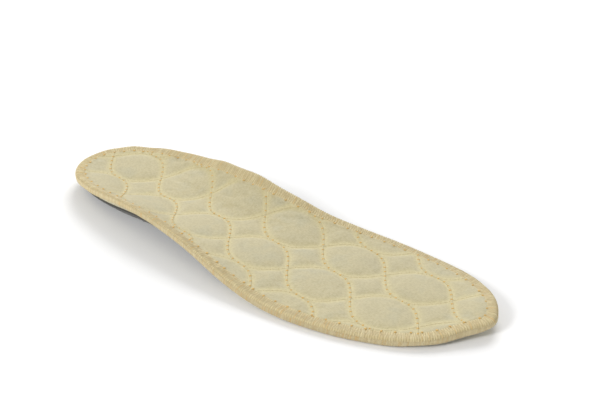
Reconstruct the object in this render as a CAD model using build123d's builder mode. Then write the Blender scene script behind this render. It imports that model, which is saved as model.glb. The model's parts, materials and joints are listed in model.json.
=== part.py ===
"""A cushioned insole for the right foot, foot side up, standing on the floor.

+X runs from the heel to the toe, +Y to the inner (arch) side, +Z up.  The
layers are, from the foot down: a quilt (cotton cover, wadding, scrim), a
latex foam base, and under it a plastic arch shell with a heel pad at the
back and a perforated sheet on a white liner at the front.  Each layer that
runs the full length is cut at the ball of the foot, where the insole bends.
"""

import math
import os

from build123d import *

# Driving dimensions, in millimetres.  x is measured from the heel's end and
# y from the heel's centre line, and place() turns them into the part's frame.
MID_LENGTH = 134.6
MID_WIDTH = -5.05
COVER = 0.9
WADDING = 1.6
SCRIM = 0.3
SHELL = 1.5
BOND = 0.1
SHEET = 0.7
LINER = 0.2
THREAD = 0.3
EDGE_THREAD = 0.5
EDGE_FOAM = 1.4
EDGE_LAP = 4.0
QUILT_MARGIN = 5.0
DISH_REACH = 30.0
DISH_POWER = 2.2
OUTSIDE_RISE = 0.6
FLEX_X = 178.0
FLEX_GAP = 0.4
TALL = 70.0

QUILT = COVER + WADDING + SCRIM
UNDERLAY = SHELL + BOND

# The cover's edge, once round from the toe's tip along the arch side:
# length from the heel, distance to the side, height of the edge.
RIM = [
    (269.0, 7.0, 9.0),
    (258.0, 22.0, 9.2),
    (240.0, 33.0, 7.4),
    (213.0, 39.0, 5.8),
    (185.0, 37.8, 7.6),
    (160.0, 31.2, 12.4),
    (130.0, 25.2, 21.0),
    (100.0, 25.0, 25.0),
    (65.0, 29.0, 21.0),
    (40.0, 30.8, 16.5),
    (18.0, 27.0, 13.6),
    (4.0, 15.0, 12.6),
    (0.0, -1.0, 12.0),
    (6.0, -15.5, 12.2),
    (20.0, -26.0, 13.8),
    (50.0, -34.0, 17.6),
    (90.0, -39.0, 19.0),
    (130.0, -45.0, 13.6),
    (168.0, -49.4, 6.6),
    (205.0, -46.0, 4.8),
    (235.0, -36.0, 4.8),
    (254.0, -22.5, 5.8),
    (264.0, -7.0, 7.4),
]

# The shell's edge from its outer front corner round the heel to its inner
# front corner, and its bell-shaped front edge back again.
SHELL_SIDE = [
    (136.0, -42.5),
    (100.0, -36.6),
    (60.0, -32.2),
    (25.0, -24.5),
    (9.0, -14.0),
    (3.0, -1.0),
    (7.0, 13.5),
    (22.0, 25.0),
    (45.0, 28.6),
    (80.0, 24.3),
    (115.0, 21.4),
    (140.0, 22.4),
]
SHELL_FRONT = [
    (140.0, 22.4),
    (151.0, 17.5),
    (163.0, 11.0),
    (171.5, 1.0),
    (174.3, -10.0),
    (171.5, -21.0),
    (163.0, -28.3),
    (152.0, -32.8),
    (143.0, -38.5),
    (136.0, -42.5),
]

# The perforated sheet's edge round the toe, between the shell's two corners.
SHEET_SIDE = [
    (136.0, -42.5),
    (160.0, -44.0),
    (190.0, -42.0),
    (215.0, -37.2),
    (240.0, -28.8),
    (253.0, -17.0),
    (258.0, -3.0),
    (256.0, 10.0),
    (246.0, 22.0),
    (228.0, 30.5),
    (205.0, 33.8),
    (180.0, 32.0),
    (160.0, 27.0),
    (140.0, 22.4),
]

# The heel pad is a teardrop: a large circle and a small one, and their hull.
PAD_CENTRE = (33.0, 0.0)
PAD_RADIUS = 13.0
PAD_TIP = (52.2, -1.2)
PAD_TIP_RADIUS = 4.2
PAD_GAP = 0.3
PAD_FLANGE = 2.0
PAD_FLANGE_TOP = 2.8
PAD_RAISED = 0.2
POCKET_GAP = 0.1

# The quilting: two mirrored families of wavy lines that close into rounds.
QUILT_PITCH_X = 39.0
QUILT_PITCH_Y = 28.0
QUILT_ORIGIN = (185.0, 22.9)
QUILT_WAVE = 0.9
QUILT_THREAD_WIDTH = 0.5
QUILT_STEPS = 8

# Height of the cover and of the sole along the middle of the insole, and how
# far in from the edge the sole curves up.  Each profile is a list of
# (length from the heel, value), level at each entry.
TOP_PROFILE = [(0, 9.2), (45, 8.0), (115, 10.6), (200, 5.4), (235, 5.4), (270, 8.6)]
SOLE_PROFILE = [(50, -0.2), (115, 2.0), (165, 0.5), (190, -0.9), (235, -0.9), (270, 2.6)]
SOLE_REACH = [(45, 17.0), (100, 28.0), (165, 18.0)]

GRID_X = [-9 + 12 * step for step in range(25)]
GRID_Y = [-58 + 7.5 * step for step in range(15)]
RIM_SAMPLES = 360
RIM_STRIDE = 6


def place(x, y):
    """A point of the insole in the part's frame."""
    return (x - MID_LENGTH, y - MID_WIDTH)


def along(profile, x):
    """The value of a profile at x, easing from one entry to the next."""
    if x <= profile[0][0]:
        return profile[0][1]
    for (x0, v0), (x1, v1) in zip(profile, profile[1:]):
        if x <= x1:
            u = (x - x0) / (x1 - x0)
            return v0 + (v1 - v0) * u * u * (3 - 2 * u)
    return profile[-1][1]


rim_curve = Edge.make_spline([Vector(*point) for point in RIM], periodic=True)
rim_points = [rim_curve @ (step / RIM_SAMPLES) for step in range(RIM_SAMPLES)]


def rim_at(x, y):
    """Distance in from the insole's edge, and the height of the edge there."""
    nearest = min(
        range(RIM_SAMPLES),
        key=lambda i: (rim_points[i].X - x) ** 2 + (rim_points[i].Y - y) ** 2,
    )
    here = rim_points[nearest]
    before = rim_points[nearest - 1]
    after = rim_points[(nearest + 1) % RIM_SAMPLES]
    run_x = after.X - before.X
    run_y = after.Y - before.Y
    inward = (run_x * (y - here.Y) - run_y * (x - here.X)) / math.hypot(run_x, run_y)
    distance = math.hypot(x - here.X, y - here.Y)
    return math.copysign(distance, inward), here.Z


def beside_rim(amount):
    """Points so far outside the insole's edge, in plan and in the part's frame."""
    points = []
    for i in range(0, RIM_SAMPLES, RIM_STRIDE):
        here = rim_points[i]
        before = rim_points[i - 1]
        after = rim_points[i + 1]
        run_x = after.X - before.X
        run_y = after.Y - before.Y
        step = amount / math.hypot(run_x, run_y)
        points.append(place(here.X + run_y * step, here.Y - run_x * step))
    return points


def rise_to_edge(inset, reach):
    """0 at `reach` in from the edge, 1 at the edge and levelling off outside."""
    if inset < 0:
        return 1 + OUTSIDE_RISE * math.tanh(-inset / reach)
    return max(0.0, 1 - inset / reach) ** DISH_POWER


def top_height(x, y):
    """The cover's upper face: a shallow dish that rises to the edge."""
    inset, edge = rim_at(x, y)
    middle = along(TOP_PROFILE, x)
    return middle + (edge - middle) * rise_to_edge(inset, DISH_REACH)


def sole_height(x, y):
    """The shell's lower face: level in the middle, curving up to the edge."""
    inset, edge = rim_at(x, y)
    middle = along(SOLE_PROFILE, x)
    edge_sole = edge - QUILT - EDGE_FOAM - UNDERLAY
    return middle + (edge_sole - middle) * rise_to_edge(inset, along(SOLE_REACH, x))


def skin(height):
    """A smooth face through a height function over the whole insole."""
    rows = []
    for x in GRID_X:
        rows.append([Vector(*place(x, y), height(x, y)) for y in GRID_Y])
    return Face.make_surface_from_array_of_points(rows, tol=0.05, min_deg=3)


top_skin = skin(top_height)
sole_skin = skin(sole_height)


def raised(face, amount):
    """The same face, moved up or down."""
    return face.moved(Location((0, 0, amount)))


def spline_points(points):
    """Points of an outline in the part's frame."""
    return [place(point[0], point[1]) for point in points]


DOWN = (0, 0, -1)
UP = (0, 0, 1)

# The two halves of the insole, each kept on the outer side of its own plane.
HALVES = {
    "rear": Plane(origin=(FLEX_X - FLEX_GAP / 2 - MID_LENGTH, 0, 0), z_dir=(-1, 0, 0)),
    "front": Plane(origin=(FLEX_X + FLEX_GAP / 2 - MID_LENGTH, 0, 0), z_dir=(1, 0, 0)),
}

with BuildSketch() as insole_outline:
    with BuildLine():
        Spline(spline_points(RIM), periodic=True)
    make_face()

with BuildSketch() as edge_thread_outline:
    with BuildLine():
        Spline(beside_rim(EDGE_THREAD), periodic=True)
    make_face()

with BuildSketch() as edge_lap_outline:
    with BuildLine():
        Spline(beside_rim(-EDGE_LAP), periodic=True)
    make_face()

with BuildSketch() as shell_outline:
    with BuildLine():
        Spline(spline_points(SHELL_SIDE))
        Spline(spline_points(SHELL_FRONT))
    make_face()

with BuildSketch() as sheet_outline:
    with BuildLine():
        Spline(spline_points(SHEET_SIDE))
        Spline(spline_points(SHELL_FRONT))
    make_face()

with BuildSketch() as pad_outline:
    with Locations(place(*PAD_CENTRE)):
        Circle(PAD_RADIUS)
    with Locations(place(*PAD_TIP)):
        Circle(PAD_TIP_RADIUS)
    make_hull()

with BuildSketch() as window_outline:
    offset(pad_outline.sketch, amount=PAD_GAP)

with BuildSketch() as flange_outline:
    offset(pad_outline.sketch, amount=PAD_FLANGE)

with BuildSketch() as pocket_outline:
    offset(pad_outline.sketch, amount=PAD_FLANGE + POCKET_GAP)


def quilt_line(row, slope):
    """The points inside the insole of one wavy line, one round per pitch."""
    points = []
    for step in range(-5 * QUILT_STEPS, 3 * QUILT_STEPS):
        turn = step / QUILT_STEPS
        wave = turn - QUILT_WAVE * math.sin(2 * math.pi * turn) / (2 * math.pi)
        x = QUILT_ORIGIN[0] + QUILT_PITCH_X * turn
        y = QUILT_ORIGIN[1] + QUILT_PITCH_Y * (row + slope * wave)
        if rim_at(x, y)[0] > QUILT_MARGIN:
            points.append(place(x, y))
    return points


def quilt_lines(slope):
    """The quilting lines of one family, as narrow ribbons in plan."""
    with BuildSketch() as ribbons:
        for row in range(-9, 9):
            points = quilt_line(row, slope)
            if len(points) > 3:
                with BuildLine():
                    Spline(points)
                trace(line_width=QUILT_THREAD_WIDTH)
    return ribbons


falling_lines = quilt_lines(-1)
rising_lines = quilt_lines(1)


def quilt_layer(depth, thickness):
    """One full-area layer of the quilt, so deep under the cover's face."""
    with BuildPart() as layer:
        extrude(raised(top_skin, -depth), amount=thickness, dir=DOWN)
        extrude(insole_outline.sketch, amount=TALL, mode=Mode.INTERSECT)
    return layer


def sole_layer(depth, thickness):
    """The forefoot's liner or sheet, its face so far above the shell's lower face."""
    with BuildPart() as layer:
        extrude(raised(sole_skin, depth), amount=thickness, dir=UP)
        extrude(sheet_outline.sketch, amount=TALL, mode=Mode.INTERSECT)
    return layer


def quilting_thread(lines, height):
    """One family of quilting seams, laid on the cover between its rounds."""
    with BuildPart() as seams:
        extrude(raised(top_skin, height), amount=THREAD, dir=UP)
        extrude(lines.sketch, amount=TALL, mode=Mode.INTERSECT)
    return seams


# The latex foam: thick in the heel cup and arch, with a pocket for the pad.
with BuildPart() as foam_base:
    extrude(raised(top_skin, -QUILT), amount=TALL, dir=DOWN)
    extrude(raised(sole_skin, UNDERLAY), amount=TALL, dir=UP, mode=Mode.INTERSECT)
    extrude(insole_outline.sketch, amount=TALL, mode=Mode.INTERSECT)
    extrude(pocket_outline.sketch, amount=PAD_FLANGE_TOP + POCKET_GAP, mode=Mode.SUBTRACT)

# The overlocked edge has two looper threads: one laps over the cover and the
# other runs round the outside, from the cover down to the foam's lower face.
with BuildPart() as upper_looper:
    extrude(top_skin, amount=THREAD, dir=UP)
    extrude(insole_outline.sketch, amount=TALL, mode=Mode.INTERSECT)
    extrude(edge_lap_outline.sketch, amount=TALL, mode=Mode.SUBTRACT)

with BuildPart() as lower_looper:
    extrude(raised(top_skin, THREAD), amount=TALL, dir=DOWN)
    extrude(raised(sole_skin, UNDERLAY), amount=TALL, dir=UP, mode=Mode.INTERSECT)
    extrude(edge_thread_outline.sketch, amount=TALL, mode=Mode.INTERSECT)
    extrude(insole_outline.sketch, amount=TALL, mode=Mode.SUBTRACT)

with BuildPart() as shell:
    extrude(sole_skin, amount=SHELL, dir=UP)
    extrude(shell_outline.sketch, amount=TALL, mode=Mode.INTERSECT)
    extrude(window_outline.sketch, amount=TALL, mode=Mode.SUBTRACT)

with BuildPart() as shell_bond:
    extrude(raised(sole_skin, SHELL), amount=BOND, dir=UP)
    extrude(shell_outline.sketch, amount=TALL, mode=Mode.INTERSECT)
    extrude(pocket_outline.sketch, amount=TALL, mode=Mode.SUBTRACT)

with BuildPart() as heel_pad:
    with BuildSketch(Plane.XY.offset(PAD_RAISED)):
        add(pad_outline.sketch)
    extrude(amount=UNDERLAY - PAD_RAISED)
    with BuildSketch(Plane.XY.offset(UNDERLAY)):
        add(flange_outline.sketch)
    extrude(amount=PAD_FLANGE_TOP - UNDERLAY)


# Each of these runs the full length and is cut at the ball of the foot.
FULL_LENGTH = {
    "cover": quilt_layer(0, COVER),
    "wadding": quilt_layer(COVER, WADDING),
    "scrim": quilt_layer(COVER + WADDING, SCRIM),
    "foam_base": foam_base,
    "white_liner": sole_layer(UNDERLAY - LINER, LINER),
    "perforated_sheet": sole_layer(UNDERLAY - LINER - SHEET, SHEET),
    "upper_looper": upper_looper,
    "lower_looper": lower_looper,
    "quilting_falling": quilting_thread(falling_lines, 0),
    "quilting_rising": quilting_thread(rising_lines, THREAD),
}


def half_of(layer, plane):
    """The part of a full-length layer that lies on the plane's outer side."""
    with BuildPart() as piece:
        add(layer.part)
        split(bisect_by=plane)
    return piece


def save(piece, name):
    """Label one finished piece and write it."""
    piece.part.label = name
    export_step(piece.part, f"parts/{name}.step")


os.makedirs("parts", exist_ok=True)
save(shell, "arch_shell")
save(shell_bond, "shell_bond")
save(heel_pad, "heel_pad")
for name, layer in FULL_LENGTH.items():
    for half, plane in HALVES.items():
        save(half_of(layer, plane), f"{name}_{half}")
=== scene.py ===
"""Looks for the cushioned insole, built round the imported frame.

Plan geometry is worked out in millimetres, in the frame's axes: +X to the toe,
+Y to the arch side, +Z up.  Outlines and surface heights come from the frame's
own nodes, and meshes are written in metres.
"""

import json
import math

import bpy
import numpy as np
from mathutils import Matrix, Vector, geometry
from mathutils.bvhtree import BVHTree
from mathutils.kdtree import KDTree


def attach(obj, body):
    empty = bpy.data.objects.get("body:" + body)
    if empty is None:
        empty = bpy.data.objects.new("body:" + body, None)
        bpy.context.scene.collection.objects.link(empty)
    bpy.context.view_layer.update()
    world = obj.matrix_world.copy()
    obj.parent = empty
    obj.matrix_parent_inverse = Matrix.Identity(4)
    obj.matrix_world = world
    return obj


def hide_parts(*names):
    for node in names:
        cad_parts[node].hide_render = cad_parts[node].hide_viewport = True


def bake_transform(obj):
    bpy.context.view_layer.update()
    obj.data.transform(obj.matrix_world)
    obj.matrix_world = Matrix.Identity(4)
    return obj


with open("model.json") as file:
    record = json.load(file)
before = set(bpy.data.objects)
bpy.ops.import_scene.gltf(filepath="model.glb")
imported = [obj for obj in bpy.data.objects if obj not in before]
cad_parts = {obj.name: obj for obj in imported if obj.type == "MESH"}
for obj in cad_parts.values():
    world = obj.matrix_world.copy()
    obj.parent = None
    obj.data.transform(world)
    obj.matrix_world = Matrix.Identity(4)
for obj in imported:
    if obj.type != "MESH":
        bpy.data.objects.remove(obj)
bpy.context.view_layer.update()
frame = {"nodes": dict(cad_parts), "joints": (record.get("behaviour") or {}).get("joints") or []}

MM = 0.001
rng = np.random.default_rng(7)

# The two bodies, and the stretch of the insole that bends between them.
REAR_BODY = "heel_and_arch"
HINGE = np.array(frame["joints"][0]["pos_m"]) / MM

# The frame's nodes that whole surfaces are read from.
COVER_NODES = ["cover_rear", "cover_front"]
FOAM_NODES = ["foam_base_rear", "foam_base_front"]
SHEET_NODES = ["perforated_sheet_rear", "perforated_sheet_front"]

# Plan outlines and the samples of heights.
NEAR_CUT = 0.3  # a point so close to the cut between the bodies is on it
RUN_GAP = 1.0  # an outline whose ends are further apart goes on in another run of points
PROBE_PITCH = 2.4
RAY_HEIGHT = 200.0

# Quilting: two mirrored families of wavy lines.
PITCH_X = 39.0
PITCH_Y = 28.0
QUILT_ORIGIN = (50.4, 27.95)
QUILT_WAVE = 0.9
QUILT_ROWS = range(-9, 9)
STITCH = 4.2
STITCH_STEPS = 6  # points of thread from one needle point to the next
SEAM_DEPTH = 0.7  # how far the seams pull the cover down
SEAM_END = 4.4  # how far in from the rim the seams stop
SEAM_FLAT = 1.9  # about how wide a seam's flat bottom is
PUFF_HEIGHT = 1.8
PUFF_REACH = 5.0  # how far from a seam a puff has most of its height
SIMULATED_SHARE = 0.65  # of the swell, with the worked-out swell as the rest
COVER_THICK = 2.8  # cover, wadding and scrim together
SEAM_HIGHLIGHT_REACH = 2.1  # how far from a seam its painted highlight reaches

# The cover's mesh: its points' pitch, and how far they keep from each other.
COVER_PITCH = 1.15
PIN_PITCH = 1.0
PIN_CLEAR = 0.45
LOOSE_CLEAR = 0.62

# The overlocked edge.
BAND_WIDTH = 4.6
BAND_DROP = 0.35
EDGE_ROUND = 1.3
LOOPER_PITCH = 1.2
THREAD_RADIUS = 0.22
KNOT_PITCH = 7.0
KNOT_INSET = 4.9
UNDER_KNOT_INSET = 2.6

# The upper looper's thread, from its needle point to the rim: how far in each point lies.
UPPER_INSETS = (KNOT_INSET, 4.3, 3.4, 2.4, 1.4, 0.7, 0.2, -0.15, -0.3)

# The lower looper's thread, from the rim down: the share of the wall's height, and how
# far outside the rim each point lies.
LOWER_DROPS = (0, 0.2, 0.45, 0.7, 0.9, 1.0, 1.0)
LOWER_REACHES = (0.12, 0.3, 0.36, 0.34, 0.22, -0.1, -0.7)
LOWER_SLANT = 0.35  # of a pitch, from the top of the wall to its foot

# The sheet under the forefoot and the liner behind it.
SHEET_THICK = 0.4
LINER_THICK = 0.5
LINER_INSET = 0.8
HOLE_PITCH = 3.4
HOLE_RADIUS = 0.78
HOLE_SIDES = 12
HOLE_MARGIN = 0.6
SCALLOP = 0.28

# The arch shell. A line is (distance from the edge, width, depth), and the marks are
# plain bars, each from one X to another.
SHELL_THICK = 1.5
SHELL_PITCH = 0.75
EDGE_LINE = (2.6, 1.5, 0.32)
WINDOW_LINES = ((4.2, 1.6, 0.22), (7.6, 1.6, 0.16))
CREST_INSET = 8.6
RIDGE_FRONT = (0.5, -36.5)
RIDGE_BACK = (-31.0, -19.0)
PARTING = ((-118.0, 4.0), (-132.0, 4.0))
MARKS = ((-38.5, -34.5), (-51.0, -42.5), (-65.0, -54.0))
MARK_INSET = 8.2
SHELL_LOWEST = -0.1

# The heel pad: its face's height, its flange's reach and heights, and its arcs' radii.
PAD_FACE = 0.2
PAD_FLANGE = 1.9
PAD_FLANGE_LOW = 1.6
PAD_FLANGE_HIGH = 2.8
PAD_ARCS = (2.2, 4.2, 6.2)


# ---------------------------------------------------------------- plan helpers


def resample(points, count, closed=True):
    """A polyline again, as so many points at equal distances."""
    line = np.vstack([points, points[:1]]) if closed else np.asarray(points)
    steps = np.linalg.norm(np.diff(line, axis=0), axis=1)
    along = np.concatenate([[0], np.cumsum(steps)])
    at = np.linspace(0, along[-1], count + closed)[:count]
    return np.stack([np.interp(at, along, line[:, k]) for k in range(line.shape[1])], axis=1)


def smoothed(loop, passes):
    """A closed loop with its small kinks rounded off."""
    for _ in range(passes):
        loop = 0.5 * loop + 0.25 * (np.roll(loop, 1, 0) + np.roll(loop, -1, 0))
    return loop


def inward(loop):
    """Unit directions into a counter-clockwise loop."""
    run = np.roll(loop, -1, 0) - np.roll(loop, 1, 0)
    run /= np.linalg.norm(run, axis=1)[:, None]
    return np.stack([-run[:, 1], run[:, 0]], axis=1)


def inset_of(points, loop):
    """How far each point lies inside a closed loop, negative outside."""
    run = np.roll(loop, -1, 0) - loop
    length2 = (run**2).sum(1)
    found = []
    at_once = 3000
    for first in range(0, len(points), at_once):
        part = points[first:first + at_once]
        gap = part[:, None, :] - loop[None]
        t = np.clip((gap * run).sum(2) / length2, 0, 1)
        away = gap - t[..., None] * run
        near = np.sqrt((away**2).sum(2).min(1))
        spans = (loop[:, 1] > part[:, 1:2]) != (loop[:, 1] + run[:, 1] > part[:, 1:2])
        rise = np.where(np.abs(run[:, 1]) < 1e-12, 1e-12, run[:, 1])
        cross_x = loop[:, 0] + run[:, 0] * (part[:, 1:2] - loop[:, 1]) / rise
        inside = (spans & (part[:, 0:1] < cross_x)).sum(1) % 2 == 1
        found.append(np.where(inside, near, -near))
    return np.concatenate(found)


def grid_over(loop, pitch, clear):
    """A triangular grid of points at least `clear` inside a loop."""
    low, high = loop.min(0), loop.max(0)
    rows = np.arange(low[1], high[1], pitch * math.sqrt(3) / 2)
    points = []
    for index, y in enumerate(rows):
        x = np.arange(low[0] + (index % 2) * pitch / 2, high[0], pitch)
        points.append(np.stack([x, np.full(len(x), y)], axis=1))
    points = np.vstack(points)
    return points[inset_of(points, loop) > clear]


def tree_of(points):
    """A nearest-point tree in plan."""
    tree = KDTree(len(points))
    for index, point in enumerate(points):
        tree.insert((point[0], point[1], 0), index)
    tree.balance()
    return tree


def distance_to(tree, points):
    """How far each plan point is from the tree's nearest point."""
    return np.array([tree.find((x, y, 0))[2] for x, y in points[:, :2]])


def ease(t):
    """0 to 1, level at both ends."""
    t = np.clip(t, 0, 1)
    return t * t * (3 - 2 * t)


# ------------------------------------------------------------ reading the frame


def node_tree(*names):
    """A ray-cast tree of some of the frame's nodes, in millimetres."""
    points = []
    faces = []
    for name in names:
        mesh = frame["nodes"][name].data
        first = len(points)
        points += [v.co / MM for v in mesh.vertices]
        faces += [[first + i for i in f.vertices] for f in mesh.polygons]
    return BVHTree.FromPolygons(points, faces)


def lower_face(face):
    """True for a face that looks down."""
    return face.normal.z < -0.3


def upper_face(face):
    """True for a face that looks up."""
    return face.normal.z > 0.3


def plan_loops(names, wanted):
    """The outlines in plan of some nodes' wanted faces, largest first.

    A layer's two nodes meet at the cut between the bodies, and their outlines are joined over it.
    """
    after = {}
    for name in names:
        mesh = frame["nodes"][name].data
        spot = [(round(v.co.x / MM, 2), round(v.co.y / MM, 2)) for v in mesh.vertices]
        edges = set()
        for face in filter(wanted, mesh.polygons):
            ring = [spot[i] for i in face.vertices]
            edges.update((a, b) for a, b in zip(ring, ring[1:] + ring[:1]) if a != b)
        for a, b in edges:
            if (b, a) not in edges and not (near_cut(a) and near_cut(b)):
                after[a] = b
    runs = []
    while after:
        starts = set(after) - set(after.values())
        run = [min(starts) if starts else min(after)]
        while run[-1] in after:
            run.append(after.pop(run[-1]))
        runs.append(run)
    loops = []
    while runs:
        loop = runs.pop(0)
        while runs and math.dist(loop[0], loop[-1]) > RUN_GAP:
            gaps = [math.dist(loop[-1], run[0]) for run in runs]
            loop += runs.pop(gaps.index(min(gaps)))
        loops.append(np.array(loop))
    loops = [loop if area_of(loop) > 0 else loop[::-1] for loop in loops]
    return sorted(loops, key=area_of, reverse=True)


def near_cut(spot):
    """True for a point on the cut between the two bodies."""
    return abs(spot[0] - HINGE[0]) < NEAR_CUT


def area_of(loop):
    """The area inside a loop, negative if it runs clockwise."""
    x, y = loop[:, 0], loop[:, 1]
    return float((x * np.roll(y, -1) - np.roll(x, -1) * y).sum()) / 2


def outline_of(loop, spacing, passes):
    """A loop as evenly spaced points, with its kinks rounded off."""
    length = np.linalg.norm(loop - np.roll(loop, 1, 0), axis=1).sum()
    return smoothed(resample(loop, round(length / spacing)), passes)


class Height:
    """A smooth height over the plan, fitted to rays cast at some nodes."""

    CELL = 5.0
    SMOOTHNESS = 0.02
    ROUNDS = 300

    def __init__(self, names, points, from_above):
        tree = node_tree(*names)
        start = RAY_HEIGHT if from_above else -RAY_HEIGHT
        way = Vector((0, 0, -1 if from_above else 1))
        kept = []
        for x, y in points:
            hit = tree.ray_cast(Vector((x, y, start)), way)[0]
            if hit is not None:
                kept.append((x, y, hit.z))
        kept = np.array(kept)
        margin = 3 * self.CELL
        self.low = kept[:, :2].min(0) - margin
        span = kept[:, :2].max(0) + margin - self.low
        self.counts = np.ceil(span / self.CELL).astype(int) + 3
        self.knots = self.fitted(*self.basis(kept[:, :2]), kept[:, 2])

    def fitted(self, index, weight, heights):
        """The knots that fit the heights best and stay smooth, by conjugate gradients."""
        size = int(self.counts[0] * self.counts[1])
        knots = np.full(size, heights.mean())
        goal = np.bincount(index.ravel(), (weight * heights[:, None]).ravel(), size)
        left = goal - self.pull(knots, index, weight)
        way = left.copy()
        power = left @ left
        for _ in range(self.ROUNDS):
            pulled = self.pull(way, index, weight)
            step = power / (way @ pulled)
            knots += step * way
            left -= step * pulled
            power, before = left @ left, power
            way = left + power / before * way
        return knots

    def pull(self, knots, index, weight):
        """What the samples and the smoothness ask of each knot."""
        fitted = (knots[index] * weight).sum(1)
        asked = np.bincount(index.ravel(), (weight * fitted[:, None]).ravel(), knots.size)
        grid = knots.reshape(self.counts)
        stiff = np.zeros_like(grid)
        for across in (grid, grid.T):
            into = stiff if across is grid else stiff.T
            bend = across[2:] - 2 * across[1:-1] + across[:-2]
            into[2:] += bend
            into[1:-1] -= 2 * bend
            into[:-2] += bend
        return asked + self.SMOOTHNESS * stiff.ravel()

    def basis(self, points):
        """The 16 knots that each point leans on, and their shares."""
        where = (points - self.low) / self.CELL
        cell = np.clip(np.floor(where).astype(int), 0, self.counts - 4)
        t = (where - cell)[..., None]
        share = np.concatenate(
            [(1 - t) ** 3, 3 * t**3 - 6 * t**2 + 4, -3 * t**3 + 3 * t**2 + 3 * t + 1, t**3],
            axis=2,
        ) / 6
        across = (cell[:, 0, None] + np.arange(4))[:, :, None] * self.counts[1]
        along = (cell[:, 1, None] + np.arange(4))[:, None, :]
        index = (across + along).reshape(len(points), 16)
        weight = (share[:, 0, :, None] * share[:, 1, None, :]).reshape(len(points), 16)
        return index, weight

    def at(self, points):
        """Heights at plan points."""
        index, weight = self.basis(points[:, :2])
        return (self.knots[index] * weight).sum(1)


# ------------------------------------------------------------------ mesh makers


def add_mesh(name, points, faces, material, smooth=True):
    """A new object from points in millimetres."""
    mesh = bpy.data.meshes.new(name)
    mesh.from_pydata([tuple(p) for p in np.asarray(points) * MM], [], [tuple(f) for f in faces])
    mesh.materials.append(material)
    mesh.polygons.foreach_set("use_smooth", [smooth] * len(mesh.polygons))
    mesh.validate()
    piece = bpy.data.objects.new(name, mesh)
    bpy.context.scene.collection.objects.link(piece)
    return piece


def add_value(piece, name, values):
    """Keeps a number for each point, for the material to read."""
    kept = piece.data.attributes.new(name, "FLOAT", "POINT")
    kept.data.foreach_set("value", values.astype(np.float32))


def triangles_over(loops, loose):
    """Triangles over a region: the first loop bounds it and the rest are holes."""
    points = np.vstack(loops + [loose])
    edges = []
    owner = np.full(len(points), -1)
    first = 0
    for number, loop in enumerate(loops):
        each = np.arange(len(loop))
        edges += list(zip((first + each).tolist(), (first + (each + 1) % len(loop)).tolist()))
        owner[first:first + len(loop)] = number
        first += len(loop)
    found = geometry.delaunay_2d_cdt([Vector(p) for p in points], edges, [], 1, 1e-6)
    spots = np.array([tuple(p) for p in found[0]])
    source = np.array([ids[0] if ids else -1 for ids in found[3]])
    loop_of = np.where(source >= 0, owner[source], -1)
    faces = np.array(found[2])
    # A triangle with all its corners on one hole's edge would fill the hole.
    same = (loop_of[faces] == loop_of[faces[:, :1]]).all(1) & (loop_of[faces[:, 0]] > 0)
    faces = faces[~same]
    a, b, c = (spots[faces[:, i]] for i in range(3))
    ahead, aside = b - a, c - a
    flipped = ahead[:, 0] * aside[:, 1] - ahead[:, 1] * aside[:, 0] < 0
    faces[flipped] = faces[flipped][:, ::-1]
    return spots, faces


def open_edges(faces):
    """The directed edges that belong to one triangle only."""
    seen = set()
    for a, b, c in faces.tolist():
        seen.update(((a, b), (b, c), (c, a)))
    return [edge for edge in seen if (edge[1], edge[0]) not in seen]


def plate(name, loops, loose, upper, lower, material):
    """A closed plate over a region in plan, between two height functions."""
    spots, faces = triangles_over(loops, loose)
    count = len(spots)
    top = np.column_stack([spots, upper(spots)])
    bottom = np.column_stack([spots, lower(spots)])
    walls = [(b, a, a + count, b + count) for a, b in open_edges(faces)]
    every = faces.tolist() + (faces[:, ::-1] + count).tolist() + walls
    return add_mesh(name, np.vstack([top, bottom]), every, material)


def tube_parts(path, radius, sides, flat=1.0):
    """Points and faces of a closed round tube along a path."""
    path = np.asarray(path, float)
    run = np.gradient(path, axis=0)
    run /= np.linalg.norm(run, axis=1)[:, None]
    side = np.cross(run, (0, 0, 1.0))
    weak = np.linalg.norm(side, axis=1) < 1e-3
    side[weak] = (0, 1.0, 0)
    side /= np.linalg.norm(side, axis=1)[:, None]
    over = np.cross(side, run)
    turn = np.arange(sides) * 2 * math.pi / sides
    radius = np.broadcast_to(radius, len(path))[:, None, None]
    ring = np.cos(turn)[None, :, None] * side[:, None]
    ring = ring + flat * np.sin(turn)[None, :, None] * over[:, None]
    points = (path[:, None] + radius * ring).reshape(-1, 3)
    faces = []
    for step in range(len(path) - 1):
        for i in range(sides):
            j = (i + 1) % sides
            a, b = step * sides, (step + 1) * sides
            faces.append((a + i, b + i, b + j, a + j))
    faces.append(tuple(range(sides)))
    faces.append(tuple(range((len(path) - 1) * sides, len(path) * sides))[::-1])
    return points, faces


def many_tubes(name, paths, radius, sides, material, flat=1.0):
    """One object of many separate closed tubes."""
    points = []
    faces = []
    tones = []
    first = 0
    for path in paths:
        p, f = tube_parts(path, radius, sides, flat)
        points.append(p)
        faces += [tuple(first + i for i in face) for face in f]
        tones += [rng.uniform()] * len(p)
        first += len(p)
    piece = add_mesh(name, np.vstack(points), faces, material)
    add_value(piece, "tone", np.array(tones))
    return piece


# -------------------------------------------------------------------- materials


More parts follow.
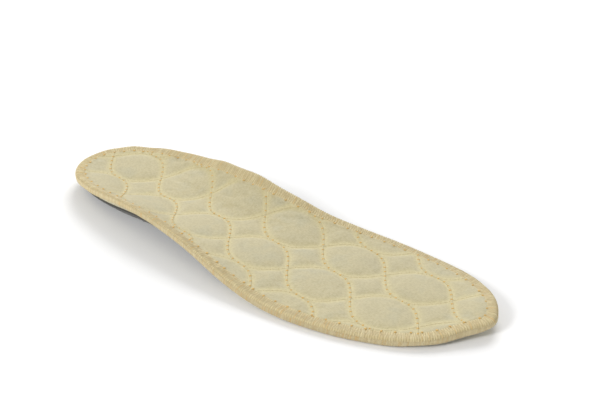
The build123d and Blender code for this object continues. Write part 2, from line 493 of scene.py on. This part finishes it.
class Shader:
    """A Principled material and short ways to wire nodes into it."""

    def __init__(self, name, roughness, **sockets):
        self.material = bpy.data.materials.new(name)
        self.material.use_nodes = True
        self.tree = self.material.node_tree
        self.shader = self.tree.nodes["Principled BSDF"]
        self.shader.inputs["Roughness"].default_value = roughness
        for socket, value in sockets.items():
            self.shader.inputs[socket.replace("_", " ")].default_value = value
        self.place = self.tree.nodes.new("ShaderNodeTexCoord").outputs["Object"]

    def link(self, a, b):
        """Joins two sockets."""
        self.tree.links.new(a, b)

    def noise(self, size, detail=2.0):
        """Noise with features of a size in millimetres."""
        node = self.tree.nodes.new("ShaderNodeTexNoise")
        node.inputs["Scale"].default_value = 1 / (size * MM)
        node.inputs["Detail"].default_value = detail
        self.link(self.place, node.inputs["Vector"])
        return node.outputs["Fac"]

    def cells(self, size):
        """Distances to scattered points, about a size in millimetres apart."""
        node = self.tree.nodes.new("ShaderNodeTexVoronoi")
        node.inputs["Scale"].default_value = 1 / (size * MM)
        self.link(self.place, node.inputs["Vector"])
        return node.outputs["Distance"]

    def ribs(self, pitch, direction):
        """Even bands of a pitch in millimetres."""
        node = self.tree.nodes.new("ShaderNodeTexWave")
        node.bands_direction = direction
        # Blender's wave runs 20 radians for each unit of its scale.
        node.inputs["Scale"].default_value = 2 * math.pi / (20 * pitch * MM)
        node.inputs["Distortion"].default_value = 0.6
        self.link(self.place, node.inputs["Vector"])
        return node.outputs["Fac"]

    def value(self, name):
        """A number that the mesh keeps for each point."""
        node = self.tree.nodes.new("ShaderNodeAttribute")
        node.attribute_name = name
        return node.outputs["Fac"]

    def ramp(self, value, stops):
        """A colour or grey ramp over a value."""
        node = self.tree.nodes.new("ShaderNodeValToRGB")
        band = node.color_ramp
        while len(band.elements) < len(stops):
            band.elements.new(0.5)
        for element, (at, colour) in zip(band.elements, stops):
            element.position = at
            element.color = (*colour, 1) if len(colour) == 3 else colour
        self.link(value, node.inputs["Fac"])
        return node.outputs["Color"]

    def mix(self, share, a, b, how="MIX"):
        """Two colours mixed by a share, each a socket or a plain value."""
        node = self.tree.nodes.new("ShaderNodeMix")
        node.data_type = "RGBA"
        node.blend_type = how
        for socket, value in ((node.inputs[0], share), (node.inputs[6], a), (node.inputs[7], b)):
            if isinstance(value, bpy.types.NodeSocket):
                self.link(value, socket)
            else:
                socket.default_value = value if not isinstance(value, tuple) else (*value, 1)
        return node.outputs[2]

    def colour(self, value):
        """Sets the base colour from a socket."""
        self.link(value, self.shader.inputs["Base Color"])

    def bump(self, heights, depth):
        """Adds bumps, each (socket, share), of a depth in millimetres."""
        normal = None
        for value, share in heights:
            node = self.tree.nodes.new("ShaderNodeBump")
            node.inputs["Strength"].default_value = share
            node.inputs["Distance"].default_value = depth * MM
            self.link(value, node.inputs["Height"])
            if normal is not None:
                self.link(normal, node.inputs["Normal"])
            normal = node.outputs["Normal"]
        self.link(normal, self.shader.inputs["Normal"])


def linear(red, green, blue):
    """An sRGB colour, 0 to 255, in the linear values that shaders take."""
    return tuple(
        v / 255 / 12.92 if v / 255 <= 0.04045 else ((v / 255 + 0.055) / 1.055) ** 2.4
        for v in (red, green, blue)
    )


def cotton_material():
    """Cream cotton knit: a fine rib, fuzz, faint patches, and a paler, yellower painted highlight
    along the seams.
    """
    s = Shader("cotton_knit", 0.92, Sheen_Weight=0.2, Sheen_Roughness=0.6)
    patches = s.ramp(
        s.noise(14, 3),
        [
            (0.3, linear(190, 181, 146)),
            (0.5, linear(197, 187, 150)),
            (0.75, linear(188, 182, 152)),
        ],
    )
    # Painted highlight: the cloth is paler and yellower along each seam, standing in for the light
    # on the slopes beside it.
    seam_highlighted = s.mix(s.value("painted_seam_highlight"), patches, linear(209, 198, 153))
    at_band = s.mix(s.value("in_band"), seam_highlighted, linear(204, 188, 143))
    fuzz = s.ramp(s.noise(1.1, 4), [(0.36, (0.80, 0.78, 0.71)), (0.62, (1.0, 1.0, 1.0))])
    s.colour(s.mix(0.55, at_band, fuzz, "MULTIPLY"))
    s.bump([(s.ribs(0.9, "X"), 0.3), (s.cells(0.6), 0.6), (s.noise(2.4, 4), 0.6)], 0.22)
    return s.material


def thread_material(name, dark, light, size, toned=False):
    """Spun thread: fine twist lines and variation along it, and between strands if toned."""
    s = Shader(name, 0.78, Sheen_Weight=0.3, Sheen_Roughness=0.5)
    varied = s.ramp(s.noise(size, 3), [(0.3, dark), (0.7, light)])
    if toned:
        strands = s.ramp(
            s.value("tone"),
            [
                (0.0, linear(216, 178, 102)),
                (0.12, linear(206, 184, 134)),
                (0.5, dark),
                (0.95, light),
            ],
        )
        varied = s.mix(0.6, varied, strands)
    s.colour(varied)
    s.bump([(s.noise(0.16, 2), 0.6)], 0.06)
    return s.material


def foam_material():
    """Cream latex foam with brown and grey flecks, and open pores."""
    s = Shader("latex_foam", 0.85)
    base = s.ramp(s.noise(0.9, 4), [(0.38, linear(196, 187, 154)), (0.62, linear(232, 226, 204))])
    brown = s.ramp(s.cells(2.1), [(0.0, (1, 1, 1)), (0.13, (1, 1, 1)), (0.19, (0, 0, 0))])
    grey = s.ramp(s.cells(1.3), [(0.0, (1, 1, 1)), (0.1, (1, 1, 1)), (0.16, (0, 0, 0))])
    flecked = s.mix(brown, base, linear(158, 136, 96))
    s.colour(s.mix(grey, flecked, linear(150, 148, 138)))
    s.bump([(s.cells(0.45), 0.6), (s.noise(1.2, 3), 0.3)], 0.12)
    return s.material


def shell_material():
    """Dark satin plastic with a fine moulded grain."""
    s = Shader("satin_plastic", 0.34, Specular_IOR_Level=0.55)
    s.colour(s.ramp(s.noise(9, 3), [(0.3, linear(44, 44, 40)), (0.7, linear(54, 54, 49))]))
    worn = s.ramp(s.noise(4, 4), [(0.3, (0.30, 0.30, 0.30)), (0.75, (0.42, 0.42, 0.42))])
    s.link(worn, s.shader.inputs["Roughness"])
    s.bump([(s.noise(0.35, 3), 0.25)], 0.02)
    return s.material


def pad_material():
    """Red satin elastomer."""
    s = Shader("red_elastomer", 0.42, Specular_IOR_Level=0.45)
    s.colour(s.ramp(s.noise(6, 3), [(0.3, linear(226, 24, 18)), (0.7, linear(238, 32, 24))]))
    s.bump([(s.noise(0.4, 3), 0.3)], 0.02)
    return s.material


def sheet_material():
    """Matt black sheet with a leathery grain."""
    s = Shader("black_sheet", 0.6)
    s.colour(s.ramp(s.noise(5, 3), [(0.3, linear(8, 8, 8)), (0.7, linear(17, 17, 17))]))
    s.bump([(s.cells(0.5), 0.5), (s.noise(1.5, 3), 0.2)], 0.05)
    return s.material


def liner_material():
    """White non-woven liner."""
    s = Shader("white_liner", 0.9)
    s.colour(s.ramp(s.noise(1.2, 4), [(0.3, linear(240, 240, 238)), (0.7, linear(252, 252, 250))]))
    s.bump([(s.noise(0.3, 3), 0.5)], 0.05)
    return s.material


def film_material():
    """Dried adhesive film."""
    s = Shader("bond_film", 0.3)
    s.colour(s.ramp(s.noise(2, 3), [(0.3, linear(190, 182, 150)), (0.7, linear(205, 198, 168))]))
    s.bump([(s.noise(0.8, 3), 0.3)], 0.03)
    return s.material


cotton = cotton_material()
seam_thread = thread_material("seam_thread", linear(200, 188, 147), linear(213, 202, 163), 1.2)
knot_thread = thread_material("knot_thread", linear(198, 158, 80), linear(216, 184, 114), 0.8)
looper_thread = thread_material(
    "looper_thread", linear(203, 187, 142), linear(228, 215, 173), 1.1, toned=True
)
wall_thread = thread_material(
    "wall_thread", linear(206, 190, 147), linear(222, 208, 168), 1.6, toned=True
)
tick_thread = thread_material("tick_thread", linear(184, 166, 118), linear(200, 184, 138), 1.0)
foam = foam_material()

# ---------------------------------------------------------- shapes of the frame

rim = outline_of(plan_loops(COVER_NODES, upper_face)[0], 1.0, 4)
rim_coarse = rim[::2]
rim_in = inward(rim)
probe = np.vstack([grid_over(rim_coarse, PROBE_PITCH, 0.5), rim[::2] + 0.3 * rim_in[::2]])
cover_top = Height(COVER_NODES, probe, True)
foam_bottom = Height(FOAM_NODES, probe, False)


# ------------------------------------------------------------- the quilted cover


def seam_curve(row, slope):
    """One wavy quilting line across the whole insole, in plan."""
    turn = np.linspace(-5, 3, 2400)
    wave = turn - QUILT_WAVE * np.sin(2 * math.pi * turn) / (2 * math.pi)
    x = QUILT_ORIGIN[0] + PITCH_X * turn
    y = QUILT_ORIGIN[1] + PITCH_Y * (row + slope * wave)
    return np.stack([x, y], axis=1)


def seam_runs(slope):
    """The stretches of one family of quilting lines that lie on the insole."""
    runs = []
    fewest = 40
    for row in QUILT_ROWS:
        curve = seam_curve(row, slope)
        inside = inset_of(curve, rim_coarse) > SEAM_END
        if inside.sum() < fewest:
            continue
        kept = curve[inside]
        breaks = np.flatnonzero(np.linalg.norm(np.diff(kept, axis=0), axis=1) > 2) + 1
        runs += [part for part in np.split(kept, breaks) if len(part) > fewest]
    return runs


def spaced(run, step):
    """A run again, with points about a step apart."""
    length = np.linalg.norm(np.diff(run, axis=0), axis=1).sum()
    return resample(run, max(3, round(length / step) + 1), closed=False)


falling = seam_runs(-1)
rising = seam_runs(1)
seam_points = np.vstack([spaced(run, 0.5) for run in falling + rising])
seam_tree = tree_of(seam_points)


def band_drop(inset):
    """How far the overlocked edge is pulled down below the cover's face."""
    band = BAND_DROP * ease((BAND_WIDTH + 1.2 - inset) / 2.0)
    over = np.clip(1 - inset / EDGE_ROUND, 0, 1)
    return band + EDGE_ROUND * (1 - np.sqrt(1 - 0.9 * over**2))


def level_at(points, inset):
    """The cover's height with every quilt pulled flat, at points so far in from the rim."""
    sunk = SEAM_DEPTH * (0.5 + 0.5 * ease((inset - BAND_WIDTH) / 3.0))
    return cover_top.at(points) - sunk - band_drop(inset)


def seam_level(points):
    """The cover's height with every quilt pulled flat."""
    return level_at(points, inset_of(points, rim_coarse))


def puff_shape(points):
    """The swell of the quilts worked out from the distance to the seams."""
    inset = inset_of(points, rim_coarse)
    near = np.minimum(distance_to(seam_tree, points), np.maximum(inset - SEAM_END, 0) * 1.3)
    return PUFF_HEIGHT * (1 - np.exp(-((near / PUFF_REACH) ** 1.5)))


def swell(spots, faces, pinned):
    """Inflates the quilts as cloth held at the seams, and returns their swell."""
    scale = 10 * MM  # the cloth is simulated ten times as large as life
    base = seam_level(spots)
    mesh = bpy.data.meshes.new("swell")
    flat = np.column_stack([spots, base]) * scale
    mesh.from_pydata([tuple(p) for p in flat], [], faces.tolist())
    cloth = bpy.data.objects.new("swell", mesh)
    bpy.context.scene.collection.objects.link(cloth)
    pins = cloth.vertex_groups.new(name="pins")
    pins.add(np.flatnonzero(pinned).tolist(), 1.0, "REPLACE")
    modifier = cloth.modifiers.new("cloth", "CLOTH")
    settings = modifier.settings
    settings.quality = 6
    settings.mass = 0.2
    settings.tension_stiffness = 12
    settings.compression_stiffness = 8
    settings.shear_stiffness = 4
    settings.bending_stiffness = 0.15
    settings.tension_damping = 8
    settings.compression_damping = 8
    settings.shear_damping = 8
    settings.air_damping = 4
    settings.vertex_group_mass = "pins"
    settings.use_pressure = True
    settings.uniform_pressure_force = 5
    settings.shrink_min = -0.035
    settings.effector_weights.gravity = 0
    modifier.collision_settings.use_collision = False
    scene = bpy.context.scene
    for step in range(1, 19):
        scene.frame_set(step)
    shown = cloth.evaluated_get(bpy.context.evaluated_depsgraph_get()).to_mesh()
    after = np.empty(len(spots) * 3)
    shown.vertices.foreach_get("co", after)
    moved = after.reshape(-1, 3) / scale - flat / scale
    scene.frame_set(1)
    bpy.data.objects.remove(cloth)
    bpy.data.meshes.remove(mesh)
    tops = np.percentile(moved[:, 2], 97)
    return moved * (PUFF_HEIGHT / max(tops, 1e-6))


def cover_mesh():
    """The cover's upper face: points and triangles, with every puff in it."""
    pins = [spaced(run, PIN_PITCH) for run in falling]
    pin_tree = tree_of(np.vstack(pins))
    others = np.vstack([spaced(run, PIN_PITCH) for run in rising])
    pins = np.vstack(pins + [others[distance_to(pin_tree, others) > PIN_CLEAR]])
    pin_tree = tree_of(pins)
    rings = [rim + width * rim_in for width in (0.25, 0.6, 1.1)]
    loose = grid_over(rim_coarse, COVER_PITCH, 1.7)
    loose = loose[distance_to(pin_tree, loose) > LOOSE_CLEAR]
    spots, faces = triangles_over([rim], np.vstack([pins, *rings, loose]))
    inset = inset_of(spots, rim_coarse)
    held = (distance_to(pin_tree, spots) < 0.05) | (inset < SEAM_END)
    base = np.column_stack([spots, seam_level(spots)])
    moved = swell(spots, faces, held)
    moved[:, :2] = np.clip(moved[:, :2], -0.5, 0.5)
    moved[:, 2] = np.clip(moved[:, 2], -0.2, PUFF_HEIGHT * 1.25)
    moved[:, 2] = SIMULATED_SHARE * moved[:, 2] + (1 - SIMULATED_SHARE) * puff_shape(spots)
    moved[:, 2] *= 1 - np.exp(-((distance_to(seam_tree, spots) / SEAM_FLAT) ** 2))
    moved[held] = 0
    return base + moved, faces


def make_cover():
    """The padded top: cover, wadding and scrim, quilted together."""
    points, faces = cover_mesh()
    draft = add_mesh("cover_draft", points, faces, cotton)
    draft.modifiers.new("finer", "SUBSURF").levels = 1
    fine = bpy.data.meshes.new_from_object(
        draft.evaluated_get(bpy.context.evaluated_depsgraph_get())
    )
    bpy.data.objects.remove(draft)
    count = len(fine.vertices)
    top = np.empty(count * 3)
    fine.vertices.foreach_get("co", top)
    top = top.reshape(-1, 3) / MM
    quads = [tuple(f.vertices) for f in fine.polygons]
    bpy.data.meshes.remove(fine)
    after = {}
    used = {(f[i], f[(i + 1) % len(f)]) for f in quads for i in range(len(f))}
    for a, b in used:
        if (b, a) not in used:
            after[a] = b
    ring = [next(iter(after))]
    while after[ring[-1]] != ring[0]:
        ring.append(after[ring[-1]])
    edge = top[ring]
    under_spots, under_faces = triangles_over([edge[:, :2]], grid_over(rim_coarse, 7.0, 3.0))
    under = np.column_stack([under_spots, cover_top.at(under_spots) - COVER_THICK])
    source = tree_of(under_spots)
    match = [count + source.find((x, y, 0))[1] for x, y in edge[:, :2]]
    walls = []
    for i in range(len(ring)):
        j = (i + 1) % len(ring)
        walls.append((ring[j], ring[i], match[i], match[j]))
    faces = quads + (under_faces[:, ::-1] + count).tolist() + walls
    points = np.vstack([top, under])
    piece = add_mesh("quilted_cover", points, faces, cotton)
    inset = inset_of(points[:, :2], rim_coarse)
    near = distance_to(seam_tree, points)
    # The share of the painted seam highlight, fading with distance from a seam.
    add_value(piece, "painted_seam_highlight", np.exp(-((near / SEAM_HIGHLIGHT_REACH) ** 2)))
    add_value(piece, "in_band", ease((BAND_WIDTH + 0.9 - inset) / 1.4))
    return piece


cover = make_cover()


# ------------------------------------------------------------------ quilting thread


def beads(name, places, radius, height, material):
    """Small flattened knots of thread, at places with heights."""
    rounds = 8
    tilts = np.array([-0.9, 0.0, 0.55, 0.9]) * math.pi / 2
    turn = np.arange(rounds) * 2 * math.pi / rounds
    shape = [
        (math.cos(t) * math.cos(a), math.cos(t) * math.sin(a), math.sin(t))
        for t in tilts
        for a in turn
    ]
    shape = np.array(shape)
    points = []
    faces = []
    for index, place in enumerate(places):
        size = radius * rng.uniform(0.85, 1.15)
        first = index * len(shape)
        points.append(np.array(place) + shape * (size, size, height))
        for row in range(len(tilts) - 1):
            for i in range(rounds):
                j = (i + 1) % rounds
                a, b = first + row * rounds, first + (row + 1) * rounds
                faces.append((a + i, a + j, b + j, b + i))
        faces.append(tuple(first + i for i in range(rounds))[::-1])
        faces.append(tuple(first + (len(tilts) - 1) * rounds + i for i in range(rounds)))
    return add_mesh(name, np.vstack(points), faces, material)


def seam_thread_paths(runs, sunk):
    """Sewing thread along each seam, pulled down into the cover at each stitch."""
    paths = []
    for run in runs:
        path = spaced(run, STITCH / STITCH_STEPS)
        along = np.arange(len(path)) / STITCH_STEPS
        lift = 0.34 * np.abs(np.sin(math.pi * along)) ** 0.6 - sunk
        paths.append(np.column_stack([path, seam_level(path) + lift]))
    return paths


def needle_points(runs, lift):
    """Where the needle went through along each seam, so far above the cover."""
    spots = np.vstack([spaced(run, STITCH / STITCH_STEPS)[::STITCH_STEPS] for run in runs])
    return np.column_stack([spots, seam_level(spots) + lift])


falling_thread = many_tubes(
    "quilting_thread_falling", seam_thread_paths(falling, 0.18), 0.24, 6, seam_thread
)
rising_thread = many_tubes(
    "quilting_thread_rising", seam_thread_paths(rising, 0.27), 0.2, 6, seam_thread
)
falling_knots = beads(
    "needle_points_falling", needle_points(falling, 0.08), 0.66, 0.3, knot_thread
)
rising_knots = beads("needle_points_rising", needle_points(rising, 0.02), 0.36, 0.16, tick_thread)

# -------------------------------------------------------------- the overlocked edge


def along_rim(at):
    """Points on the rim and directions into it, at shares of the way round."""
    where = (np.asarray(at) % 1) * len(rim)
    first = np.floor(where).astype(int) % len(rim)
    share = (where - np.floor(where))[:, None]
    second = (first + 1) % len(rim)
    point = rim[first] * (1 - share) + rim[second] * share
    way = rim_in[first] * (1 - share) + rim_in[second] * share
    return point, way / np.linalg.norm(way, axis=1)[:, None]


rim_length = float(np.linalg.norm(rim - np.roll(rim, 1, 0), axis=1).sum())


def upper_looper_paths():
    """Thread in a zigzag over the cover's edge, from the needle line to the rim."""
    count = round(rim_length / LOOPER_PITCH)
    insets = np.array(UPPER_INSETS)
    past_edge = np.clip(0.15 - insets, 0, 1)
    paths = []
    for index in range(2 * count):
        inner = (index + index % 2) / (2 * count)
        outer = (index + 1 - index % 2) / (2 * count)
        reach = (insets - insets[-1]) / (insets[0] - insets[-1])
        at = outer + (inner - outer) * reach + rng.normal(0, 0.12) / rim_length
        point, way = along_rim(at)
        pull = insets + (insets > 4) * rng.uniform(-0.35, 0.35)
        plan = point + way * pull[:, None]
        height = level_at(plan, np.maximum(insets, 0.02))
        height += 0.14 * ease((KNOT_INSET - insets) / 0.5) - 0.05 - 0.5 * past_edge
        paths.append(np.column_stack([plan, height]))
    return paths


def lower_looper_paths():
    """Thread down the outside of the edge, turned in under the foam."""
    count = round(rim_length / (LOOPER_PITCH / 2))
    at = np.arange(count) / count
    point, way = along_rim(at)
    top = level_at(point, np.full(count, 0.02)) - 0.15
    low = foam_bottom.at(point)
    drop = np.array(LOWER_DROPS)
    slant = (drop - 0.5) * LOWER_SLANT * LOOPER_PITCH
    paths = []
    for index in range(count):
        out = np.array(LOWER_REACHES) + rng.normal(0, 0.03)
        height = top[index] + (low[index] - top[index]) * drop
        height[-2:] -= (0.12, 0.1)
        side = np.array([-way[index][1], way[index][0]])
        plan = point[index] - out[:, None] * way[index] + slant[:, None] * side
        paths.append(np.column_stack([plan, height]))
    return paths


upper_looper = many_tubes(
    "upper_looper_thread", upper_looper_paths(), THREAD_RADIUS, 5, looper_thread, flat=0.65
)
lower_looper = many_tubes(
    "lower_looper_thread", lower_looper_paths(), THREAD_RADIUS * 1.15, 5, wall_thread
)


def edge_knot_places(inset, height, lift):
    """Needle points round the edge, so far in and on a height function."""
    count = round(rim_length / KNOT_PITCH)
    at = (np.arange(count) + rng.uniform(-0.12, 0.12, count)) / count
    point, way = along_rim(at)
    plan = point + way * (inset + rng.uniform(-0.2, 0.2, count))[:, None]
    return np.column_stack([plan, height(plan) + lift])


edge_knots = beads(
    "edge_needle_points", edge_knot_places(KNOT_INSET, seam_level, 0.16), 0.7, 0.3, knot_thread
)
under_knots = beads(
    "underside_needle_points",
    edge_knot_places(UNDER_KNOT_INSET, foam_bottom.at, -0.02),
    0.45,
    0.12,
    tick_thread,
)

# ------------------------------------------------------------------------- the foam


def rounded(inset, radius):
    """How far a face lies back where its edge is rounded."""
    over = np.clip(1 - inset / radius, 0, 1)
    return radius * (1 - np.sqrt(np.clip(1 - over**2, 0, 1)))


def rings_inside(loop, insets):
    """Copies of a loop, each so far in."""
    way = inward(loop)
    return np.vstack([loop + inset * way for inset in insets])


def foam_upper(points):
    """The foam's upper face, under the quilt."""
    return cover_top.at(points) - COVER_THICK


def foam_lower(points):
    """The foam's lower face, with its edge rounded."""
    return foam_bottom.at(points) + rounded(inset_of(points, rim_coarse), 0.8)


foam_loose = np.vstack([rings_inside(rim, (0.15, 0.4, 0.8)), grid_over(rim_coarse, 2.2, 1.6)])
foam_base = plate("foam_base", [rim], foam_loose, foam_upper, foam_lower, foam)

# ------------------------------------------------------- the sheet under the forefoot

sheet_edge = outline_of(plan_loops(SHEET_NODES, lower_face)[0], 0.6, 4)
sheet_probe = np.vstack(
    [grid_over(sheet_edge[::2], PROBE_PITCH, 0.4), rings_inside(sheet_edge[::3], (0.3,))]
)
sheet_low = Height(SHEET_NODES, sheet_probe, False)


def scalloped(loop):
    """A loop with small even scallops, as a pinked edge has."""
    length = np.linalg.norm(loop - np.roll(loop, 1, 0), axis=1).sum()
    waves = round(length / HOLE_PITCH)
    wave = np.cos(2 * math.pi * waves * np.arange(len(loop)) / len(loop))
    return loop + (SCALLOP * (1 + wave))[:, None] * inward(loop)


def hole_loops():
    """The punched holes, on a triangular grid inside the sheet's margin."""
    turn = np.arange(HOLE_SIDES) * 2 * math.pi / HOLE_SIDES
    ring = HOLE_RADIUS * np.stack([np.cos(turn), np.sin(turn)], axis=1)
    centres = grid_over(sheet_edge[::2], HOLE_PITCH, HOLE_MARGIN + HOLE_RADIUS)
    return [ring + centre for centre in centres]


black = sheet_material()
white = liner_material()
sheet = plate(
    "perforated_sheet",
    [scalloped(sheet_edge), *hole_loops()],
    rings_inside(sheet_edge, (1.1,)),
    lambda points: sheet_low.at(points) + SHEET_THICK,
    sheet_low.at,
    black,
)
liner_edge = sheet_edge + LINER_INSET * inward(sheet_edge)
liner = plate(
    "white_liner",
    [liner_edge],
    grid_over(liner_edge[::2], 2.0, 1.0),
    lambda points: sheet_low.at(points) + SHEET_THICK + LINER_THICK,
    lambda points: sheet_low.at(points) + SHEET_THICK,
    white,
)

# ------------------------------------------------------------------ the arch shell

shell_loops = plan_loops(["arch_shell"], lower_face)
shell_edge = outline_of(shell_loops[0], 0.6, 3)
window = outline_of(shell_loops[1], 0.6, 1)
shell_probe = grid_over(shell_edge[::2], PROBE_PITCH, 0.4)
shell_probe = shell_probe[inset_of(shell_probe, window) < -0.3]
shell_probe = np.vstack([shell_probe, rings_inside(shell_edge[::3], (0.3,))])
shell_low = Height(["arch_shell"], shell_probe, False)


def bump_at(distance, width):
    """1 at a distance of 0, falling to 0 at half the width."""
    return ease(1 - np.abs(distance) / (width / 2))


def line_distance(points, a, b):
    """How far points are from a straight line between two others."""
    a, b = np.array(a), np.array(b)
    t = np.clip(((points - a) @ (b - a)) / ((b - a) @ (b - a)), 0, 1)
    return np.linalg.norm(points - a - t[:, None] * (b - a), axis=1)


def shell_lower(points):
    """The shell's outer face, with its moulded lines.

    A ridge or crest stands on ground that is raised first, so that it stays above the floor.
    """
    inset = inset_of(points, shell_edge[::2])
    around = -inset_of(points, window)
    x, y = points[:, 0], points[:, 1]
    level = np.maximum(shell_low.at(points), 0) + rounded(inset, 0.7) + rounded(around, 0.35)
    for away, line in ((inset, EDGE_LINE), *((around, line) for line in WINDOW_LINES)):
        at, width, depth = line
        level += depth * bump_at(away - at, width)
    level += 0.2 * bump_at(line_distance(points, *PARTING), 1.2)
    at_heel = ease((-74 - x) / 20) * (0.45 + 0.55 * ease((4 - y) / 10))
    crest = inset - CREST_INSET
    level += at_heel * (0.7 * bump_at(crest, 14.0) - 1.4 * bump_at(crest, 4.4))
    ridge = line_distance(points, RIDGE_FRONT, RIDGE_BACK)
    fade = ease((x - RIDGE_BACK[0] + 3) / 20) * ease((inset - 0.3) / 1.5)
    level += fade * (0.8 * bump_at(ridge, 18.0) - 2.4 * bump_at(ridge, 5.6))
    level += 0.35 * bump_at(x + 50, 34.0) * bump_at(inset - MARK_INSET, 9.0) * (y < 0)
    for low, high in MARKS:
        within = ease((x - low) / 0.8) * ease((high - x) / 0.8) * (y < 0)
        level -= 0.6 * within * ease((1.5 - np.abs(inset - MARK_INSET)) / 0.6)
    return np.maximum(level, SHELL_LOWEST)


def shell_upper(points):
    """The shell's inner face."""
    inset = inset_of(points, shell_edge[::2])
    return np.maximum(shell_low.at(points), 0) + SHELL_THICK - rounded(inset, 0.35)


plastic = shell_material()
shell_loose = grid_over(shell_edge[::2], SHELL_PITCH, 1.1)
shell_loose = shell_loose[inset_of(shell_loose, window) < -0.8]
shell_loose = np.vstack(
    [shell_loose, rings_inside(shell_edge, (0.1, 0.3, 0.7)), rings_inside(window, (-0.12, -0.4))]
)
shell = plate(
    "arch_shell_moulded", [shell_edge, window], shell_loose, shell_upper, shell_lower, plastic
)

# --------------------------------------------------------------------- the heel pad


def pad_face(face):
    """True for the pad's own lower face, without its flange."""
    return lower_face(face) and face.center.z / MM < 1


pad_edge = outline_of(plan_loops(["heel_pad"], pad_face)[0], 0.6, 1)
flange_edge = pad_edge - PAD_FLANGE * inward(pad_edge)
pad_wide = pad_edge[pad_edge[:, 0] < np.median(pad_edge[:, 0])].mean(0)


def pad_lower(points):
    """The pad's outer face: a raised line inside its edge, and three arcs."""
    inset = inset_of(points, pad_edge[::2])
    level = PAD_FACE + rounded(inset, 0.6) - 0.3 * bump_at(inset - 2.0, 1.3)
    level += 0.3 * ease((inset - 2.6) / 1.2)
    reach = np.linalg.norm(points - pad_wide, axis=1)
    behind = np.abs(np.arctan2(points[:, 1] - pad_wide[1], pad_wide[0] - points[:, 0]))
    for radius in PAD_ARCS:
        level += 0.42 * bump_at(reach - radius, 1.3) * ease((1.25 - behind) / 0.2)
    return level


def make_pad():
    """The heel pad: its face and the flange that holds it in the shell."""
    loose = np.vstack([grid_over(pad_edge, 0.5, 0.9), rings_inside(pad_edge, (0.1, 0.3, 0.6))])
    red = pad_material()
    face = plate(
        "heel_pad_moulded",
        [pad_edge],
        loose,
        lambda points: np.full(len(points), PAD_FLANGE_LOW + 0.2),
        pad_lower,
        red,
    )
    flange = plate(
        "pad_flange",
        [flange_edge],
        grid_over(pad_edge, 2.0, 0.5),
        lambda points: PAD_FLANGE_HIGH - rounded(inset_of(points, flange_edge), 0.4),
        lambda points: np.full(len(points), PAD_FLANGE_LOW),
        red,
    )
    return face, flange


pad, pad_flange = make_pad()

# ------------------------------------------------------- what rides on what, and the nodes each piece hides

frame["nodes"]["shell_bond"].data.materials.clear()
frame["nodes"]["shell_bond"].data.materials.append(film_material())


def both(base):
    """A full-length layer's two nodes."""
    return f"{base}_rear", f"{base}_front"


BENDING = (
    (cover, "cover_fabric", both("cover") + both("wadding") + both("scrim")),
    (falling_thread, "quilting_thread", both("quilting_falling")),
    (falling_knots, "quilting_thread", ()),
    (rising_thread, "quilting_thread", both("quilting_rising")),
    (rising_knots, "quilting_thread", ()),
    (upper_looper, "edge_thread", both("upper_looper")),
    (lower_looper, "edge_thread", both("lower_looper")),
    (edge_knots, "edge_thread", ()),
    (under_knots, "edge_thread", ()),
    (foam_base, "latex_foam", both("foam_base")),
    (sheet, "black_sheet", both("perforated_sheet")),
    (liner, "white_liner", both("white_liner")),
)
for piece, slot, nodes in BENDING:
    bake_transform(piece)
    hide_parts(*nodes)

for piece, slot, nodes in (
    (shell, "shell_plastic", ("arch_shell",)),
    (pad, "red_pad", ("heel_pad",)),
    (pad_flange, "red_pad", ()),
):
    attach(piece, REAR_BODY)
    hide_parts(*nodes)

# --------------------------------------------------------- floor, light and camera


def make_floor():
    """A plain pale floor."""
    s = Shader("floor", 0.9)
    s.colour(s.ramp(s.noise(400, 2), [(0.0, (0.96, 0.96, 0.96)), (1.0, (0.97, 0.97, 0.97))]))
    mesh = bpy.data.meshes.new("floor")
    size = 4.0
    corners = [(-size, -size, 0), (size, -size, 0), (size, size, 0), (-size, size, 0)]
    mesh.from_pydata(corners, [], [(0, 1, 2, 3)])
    mesh.materials.append(s.material)
    floor = bpy.data.objects.new("floor", mesh)
    floor.location.z = -0.0002
    bpy.context.scene.collection.objects.link(floor)


def add_area_light(name, place, target, size, power):
    """A soft light that points at a target."""
    light = bpy.data.lights.new(name, "AREA")
    light.size = size
    light.energy = power
    lamp = bpy.data.objects.new(name, light)
    lamp.location = place
    lamp.rotation_euler = (Vector(target) - Vector(place)).to_track_quat("-Z", "Y").to_euler()
    bpy.context.scene.collection.objects.link(lamp)


def make_camera():
    """The camera, at the angle and distance that the object is seen from."""
    target = Vector((-0.01934, 0.05577, 0.0))
    azimuth, elevation, distance = math.radians(39.87), math.radians(27.34), 0.679
    back = Vector((
        math.sin(azimuth) * math.cos(elevation),
        -math.cos(azimuth) * math.cos(elevation),
        math.sin(elevation),
    ))
    data = bpy.data.cameras.new("camera")
    data.lens = 73.2
    data.sensor_width = 36.0
    data.clip_start = 0.01
    camera = bpy.data.objects.new("camera", data)
    camera.location = target + back * distance
    camera.rotation_euler = (-back).to_track_quat("-Z", "Y").to_euler()
    bpy.context.scene.collection.objects.link(camera)
    bpy.context.scene.camera = camera


make_floor()
add_area_light("back", (-0.6, 1.3, 1.2), (0, 0, 0), 1.1, 24.0)
add_area_light("front", (-0.1, -1.25, 0.8), (0, 0, 0), 0.4, 12.0)
world = bpy.data.worlds.new("studio")
world.use_nodes = True
world.node_tree.nodes["Background"].inputs["Color"].default_value = (1, 1, 1, 1)
world.node_tree.nodes["Background"].inputs["Strength"].default_value = 0.46
bpy.context.scene.world = world
bpy.context.scene.view_settings.view_transform = "Standard"
make_camera()
